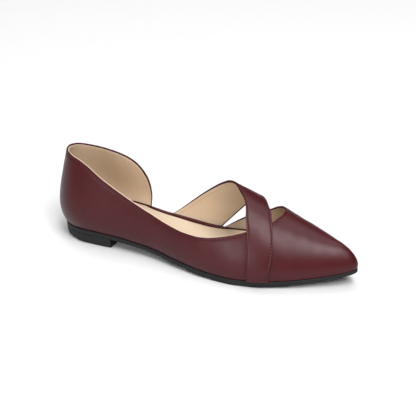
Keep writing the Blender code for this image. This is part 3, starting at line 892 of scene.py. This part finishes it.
def make_footbed(finish):
    """Soft footbed: slightly crowned, its edge rolled down, closed below."""
    u = stations((0, HEEL_AXIS, 28), (HEEL_AXIS, TOE_AXIS, 108), (TOE_AXIS, LENGTH, 24))
    medial = FOOTBED_INSET + (rand_size["width"](u) + SOLE_GAP) * rand_share(u)
    edge = np.array(FOOTBED_EDGE_SHARES)
    shares = np.concatenate((edge, np.linspace(*FOOTBED_FLAT), 1 - edge[::-1]))
    plan = crossing(u, FOOTBED_INSET, medial, shares)
    side = np.minimum(shares, 1 - shares)
    roll = FOOTBED_EDGE * np.exp(-side / FOOTBED_ROLL)
    ends = np.clip(np.minimum(u, LENGTH - u) / FOOTBED_END, 0, 1)
    crown = FOOTBED_CROWN * (1 - (2 * shares - 1) ** 4)
    height = seat_height(plan, "feather") + footbed_rise(plan[..., 0]) + crown * ends[:, None] - roll
    top = np.concatenate((plan, height[..., None]), -1)
    foot = np.concatenate((plan, seat_height(plan, "feather")[..., None]), -1)
    footbed = laid_sheet("footbed", np.concatenate((top, foot[:, ::-1], top[:, :1]), 1))
    edit(footbed, closed_outwards)
    dress(footbed, (finish["footbed"],), "insole")
    smooth(footbed)


def ring(width, height, steps=4):
    """Rectangle rounded at its top, as a closed ring of (inset, rise)."""
    corner = min(RAND_ROUND, RAND_ROUND_SHARE * width)
    turn = np.linspace(0, np.pi / 2, steps + 1)
    quarter = np.stack((1 - np.cos(turn), np.sin(turn)), -1) * corner
    rising = quarter + (0, height - corner)
    falling = np.stack((width - quarter[::-1, 0], rising[::-1, 1]), -1)
    return np.concatenate((((0, 0), (0, height * 0.5)), rising, falling,
                           ((width, height * 0.5), (width, 0), (0, 0))))


def make_rand(finish):
    """Leather-covered edge of the footbed along the open side, run out under the quarter and the vamp."""
    u = stations((RAND[0][0], RAND[-1][0], 114))
    sections = np.array([ring(*size) for size in zip(rand_size["width"](u), rand_size["height"](u))])
    plan = np.stack([outline(u, 1, FOOTBED_INSET + inset) for inset in sections[..., 0].T], 1)
    height = seat_height(plan, "feather") + sections[..., 1]
    rand = laid_sheet("footbed_edge", np.concatenate((plan, height[..., None]), -1))
    close_ends(rand)
    dress(rand, (finish["leather"],), "rand")
    smooth(rand)


def close_ends(piece):
    """Fill the open ends of a closed tube and turn its faces outwards."""
    edit(piece, lambda: bpy.ops.mesh.fill_holes(sides=0), closed_outwards)


def wrapped(name, u, layers):
    """Closed body between the two outlines: layers of (lateral inset, medial inset, shares, height)."""
    rings = []
    for lateral, medial, shares, height in layers:
        plan = crossing(u, lateral, medial, np.asarray(shares, float))
        rings.append(np.concatenate((plan, height(plan)[..., None]), -1))
    loop = np.concatenate(rings + [rings[0][:, :1]], 1)
    return laid_sheet(name, loop)


def side_layers(turns, across):
    """Down one side of a body and up the other: each turn is (inset, height function)."""
    return [(inset, inset, (across,), height) for inset, height in turns]


def tread(plan):
    """Shallow curved ribs across the ball of the sole, clear of its edge."""
    x, y = plan[..., 0], plan[..., 1]
    lateral, medial = last["lateral"](x), last["medial"](x)
    across = (y + lateral) / (lateral + medial)
    inside = np.clip((np.minimum(across, 1 - across) - TREAD_MARGIN) / TREAD_FADE, 0, 1)
    run = np.clip(np.minimum(x - TREAD_START, TREAD_END - x) / TREAD_RUN_OUT, 0, 1)
    wave = np.cos((x + TREAD_BOW * (across - 0.5) ** 2) / TREAD_PITCH * 2 * np.pi)
    return TREAD_DEPTH * inside * run * np.clip((wave - TREAD_RIB_START) / TREAD_RIB_SLOPE, 0, 1)


def make_sole(finish):
    """Thin rubber sole: arch and toe spring, rounded lower edge, ribs under the ball."""
    u = stations((0, HEEL_AXIS, 28), (HEEL_AXIS, TREAD_START, 50), (TREAD_START, TREAD_END, 134),
                 (TREAD_END, TOE_AXIS, 12), (TOE_AXIS, LENGTH, 26))

    def top(plan):
        return seat_height(plan, "feather") - SOLE_GAP

    def bottom(plan):
        return seat_height(plan, "bottom")

    turns = [(-SOLE_LEDGE, lambda p: top(p) - SOLE_TOP_ROUND),
             (-SOLE_LEDGE, lambda p: 0.5 * (top(p) + bottom(p))),
             (-SOLE_LEDGE, lambda p: bottom(p) + SOLE_EDGE_ROUND)]
    for turn in np.radians(ROUND_TURNS):
        turns.append((-SOLE_LEDGE + SOLE_EDGE_ROUND * (1 - np.cos(turn)),
                      lambda p, turn=turn: bottom(p) + SOLE_EDGE_ROUND * (1 - np.sin(turn))))
    flat_inset = SOLE_EDGE_ROUND - SOLE_LEDGE
    layers = [(SOLE_TOP_ROUND - SOLE_LEDGE,) * 2 + (np.linspace(0, 1, 9), top)]
    layers += side_layers(turns, 1.0)
    layers += [(flat_inset,) * 2 + (np.linspace(1, 0, 49)[1:-1], lambda p: bottom(p) + tread(p))]
    layers += side_layers(turns[::-1], 0.0)
    sole = wrapped("rubber_sole", u, layers)
    edit(sole, closed_outwards)
    dress(sole, (finish["rubber"],), "outsole")
    smooth(sole)


def heel_floor(plan):
    """Underside of the heel block: flat, with a low step up towards the back."""
    return HEEL_STEP_RISE * (1 - np.clip((plan[..., 0] - HEEL_STEP) / HEEL_STEP_RUN, 0, 1))


def make_heel(finish):
    """Low rubber heel with a straight breast, a slight taper and a rounded lower edge."""
    step = np.array((HEEL_STEP, HEEL_STEP + HEEL_STEP_RUN))
    at_step = HEEL_AXIS - HEEL_AXIS * np.arcsin(1 - step / HEEL_AXIS) / (np.pi / 2)
    even = stations((0, HEEL_AXIS, 30), (HEEL_AXIS, HEEL_BREAST, 11))
    u = np.unique(np.concatenate((even, at_step.round(4))))
    side = HEEL_TAPER - SOLE_LEDGE

    def top(plan):
        return seat_height(plan, "bottom") - HEEL_GAP

    turns = [(side, lambda p: heel_floor(p) + HEEL_EDGE_HEIGHT)]
    for turn in np.radians(ROUND_TURNS):
        turns.append((side + HEEL_EDGE_ROUND * (1 - np.cos(turn)),
                      lambda p, turn=turn: heel_floor(p) + HEEL_EDGE_HEIGHT * (1 - np.sin(turn))))
    layers = [(-SOLE_LEDGE,) * 2 + (np.linspace(0, 1, 9), top)]
    layers += side_layers(turns, 1.0)
    layers += [(side + HEEL_EDGE_ROUND,) * 2 + (np.linspace(1, 0, 17)[1:-1], heel_floor)]
    layers += side_layers(turns[::-1], 0.0)
    heel = wrapped("rubber_heel", u, layers)
    close_ends(heel)
    apply_modifier(heel, "BEVEL", width=HEEL_BEVEL * MM, segments=2, limit_method="ANGLE",
                   angle_limit=np.radians(HEEL_BEVEL_ANGLE))
    dress(heel, (finish["rubber"],), "heel")
    smooth(heel)


# Stitching

def one_stitch(sizes):
    """One sunk stitch, or the dark spot of painted shade that stands for a needle hole, along +x, modelled
    once.
    """
    bpy.ops.object.select_all(action="DESELECT")
    bpy.ops.mesh.primitive_uv_sphere_add(segments=8, ring_count=6, radius=0.5)
    stitch = bpy.context.object
    edit(stitch, lambda: bpy.ops.transform.resize(value=tuple(size * MM for size in sizes)))
    return stitch


def sew(name, places, surface, model, material, inwards=0.0):
    """Copies of the stitch along a seam: places are (point, direction) on the last, seated on a surface.

    The places are first moved inwards of the surface, to seat stitches on an inner face.
    """
    copies = []
    for point, along in places:
        spot = Vector(point * MM + ORIGIN)
        if inwards:
            spot -= surface.closest_point_on_mesh(spot)[2] * inwards * MM
        _, seat, normal, _ = surface.closest_point_on_mesh(spot)
        x = Vector(along)
        x = (x - normal * x.dot(normal)).normalized()
        y = normal.cross(x)
        turn = Matrix((x, y, normal)).transposed().to_4x4()
        copy = model.copy()
        copy.data = model.data.copy()
        copy.data.transform(Matrix.Translation(seat) @ turn)
        bpy.context.scene.collection.objects.link(copy)
        copies.append(copy)
    select_only(copies[0])
    for copy in copies:
        copy.select_set(True)
    bpy.ops.object.join()
    piece = bpy.context.object
    piece.name = piece.data.name = name
    smooth(piece, 180.0)
    dress(piece, (material,))


def seam_places(line, shift=0.0, trim=2.0):
    """Evenly pitched places along a seam line, clear of its ends; shift is a share of the pitch."""
    length = np.concatenate(((0,), np.cumsum(np.linalg.norm(np.diff(line, axis=0), axis=1))))
    at = trim + (np.arange(int((length[-1] - 2 * trim) / STITCH_PITCH)) + shift) * STITCH_PITCH
    points = np.stack([np.interp(at, length, line[:, k]) for k in range(3)], -1)
    return list(zip(points, np.gradient(points, axis=0)))


def sew_leather(name, lines, surface, models, finish):
    """Stitches along seam lines on leather, with a dark spot of painted shade for a needle hole between
    each two.
    """
    stitches = [place for line in lines for place in seam_places(line)]
    holes = [place for line in lines for place in seam_places(line, shift=0.5)]
    sew(name + "_stitching", stitches, surface, models[0], finish["thread"])
    sew(name + "_hole_painted_shade", holes, surface, models[1], finish["hole_shade"])


def stitch_upper(leather, lining, seams, models, finish):
    """Seam beside the turned edge of the topline and throat, through leather and lining."""
    sew_leather("upper", [line for line, _ in seams], leather, models, finish)
    inside = [place for _, line in seams for place in seam_places(line)]
    sew("upper_lining_stitching", inside, lining, models[0], finish["lining_thread"],
        inwards=2 * WALL)


def stitch_strap(leather, lining, bed, outward, width, lined, models, finish):
    """A seam along each edge of the strap outside, and one below its back edge inside."""
    top = bed + outward * STRAP_THICK
    seams = (np.full(len(width), STRAP_SEAM_IN), width - STRAP_SEAM_IN)
    lines = [across_strap(top, width, at[:, None])[:, 0] for at in seams]
    sew_leather("strap", lines, leather, models, finish)
    at = np.full(lined.sum(), STRAP_LINING_SEAM_IN)
    line = across_strap(bed[lined] - outward[lined], width[lined], at[:, None])[:, 0]
    sew("strap_lining_stitching", seam_places(line), lining, models[0], finish["lining_thread"])


# Stage

def make_floor():
    bpy.ops.object.select_all(action="DESELECT")
    bpy.ops.mesh.primitive_plane_add(size=FLOOR_SIZE, location=(0.0, 0.0, -FLOOR_DROP))
    floor = bpy.context.object
    floor.name = "floor"
    material = new_material("pale_floor", (FLOOR_TONE,) * 3, FLOOR_ROUGHNESS, FLOOR_SPECULAR)[0]
    floor.data.materials.append(material)


def view_axes(azimuth, elevation):
    a, e = np.radians((azimuth, elevation))
    back = np.array((np.sin(a) * np.cos(e), -np.cos(a) * np.cos(e), np.sin(e)))
    right = np.array((np.cos(a), np.sin(a), 0.0))
    return right, np.cross(back, right), back


def make_camera():
    """Camera at the photograph's angle, framing the shoe as the photograph does."""
    right, up, back = view_axes(VIEW_AZIMUTH, VIEW_ELEVATION)
    place = np.array(VIEW_CENTRE) + VIEW_DISTANCE * back + VIEW_PAN[0] * right + VIEW_PAN[1] * up
    data = bpy.data.cameras.new("camera")
    data.sensor_width = SENSOR
    data.lens = VIEW_FOCAL_PIXELS / PICTURE_PIXELS * SENSOR
    camera = bpy.data.objects.new("camera", data)
    turn = Matrix(np.stack((right, up, back), 1).tolist()).to_4x4()
    camera.matrix_world = Matrix.Translation(Vector(place * MM + ORIGIN)) @ turn
    bpy.context.scene.collection.objects.link(camera)
    bpy.context.scene.camera = camera


def softbox(name, azimuth, elevation, distance, size, power):
    """Square studio light aimed at the middle of the shoe."""
    right, up, back = view_axes(azimuth, elevation)
    data = bpy.data.lights.new(name, "AREA")
    data.shape = "SQUARE"
    data.size = size
    data.energy = power
    light = bpy.data.objects.new(name, data)
    light.visible_camera = False
    turn = Matrix(np.stack((right, up, back), 1).tolist()).to_4x4()
    light.matrix_world = Matrix.Translation(Vector(back * distance)) @ turn
    bpy.context.scene.collection.objects.link(light)


def make_light():
    """Soft boxes round the shoe, and a white backdrop past the floor that gives no light itself."""
    for row in LIGHTS:
        softbox(**dict(zip(LIGHT_COLUMNS, row)))
    world = bpy.data.worlds.new("studio")
    world.use_nodes = True
    backdrop = world.node_tree.nodes["Background"]
    backdrop.inputs["Color"].default_value = (1.0, 1.0, 1.0, 1.0)
    path = world.node_tree.nodes.new("ShaderNodeLightPath")
    world.node_tree.links.new(path.outputs["Is Camera Ray"], backdrop.inputs["Strength"])
    bpy.context.scene.world = world
    bpy.context.scene.view_settings.view_transform = "Standard"


def main():
    finish = make_materials()
    upper = make_upper(finish)
    strap = make_strap(finish)
    make_footbed(finish)
    make_rand(finish)
    make_sole(finish)
    make_heel(finish)
    models = [one_stitch(sizes) for sizes in (STITCH, HOLE_SHADE_SPOT)]
    stitch_upper(*upper, models, finish)
    stitch_strap(*strap, models, finish)
    for model in models:
        bpy.data.objects.remove(model, do_unlink=True)
    make_floor()
    make_camera()
    make_light()


main()
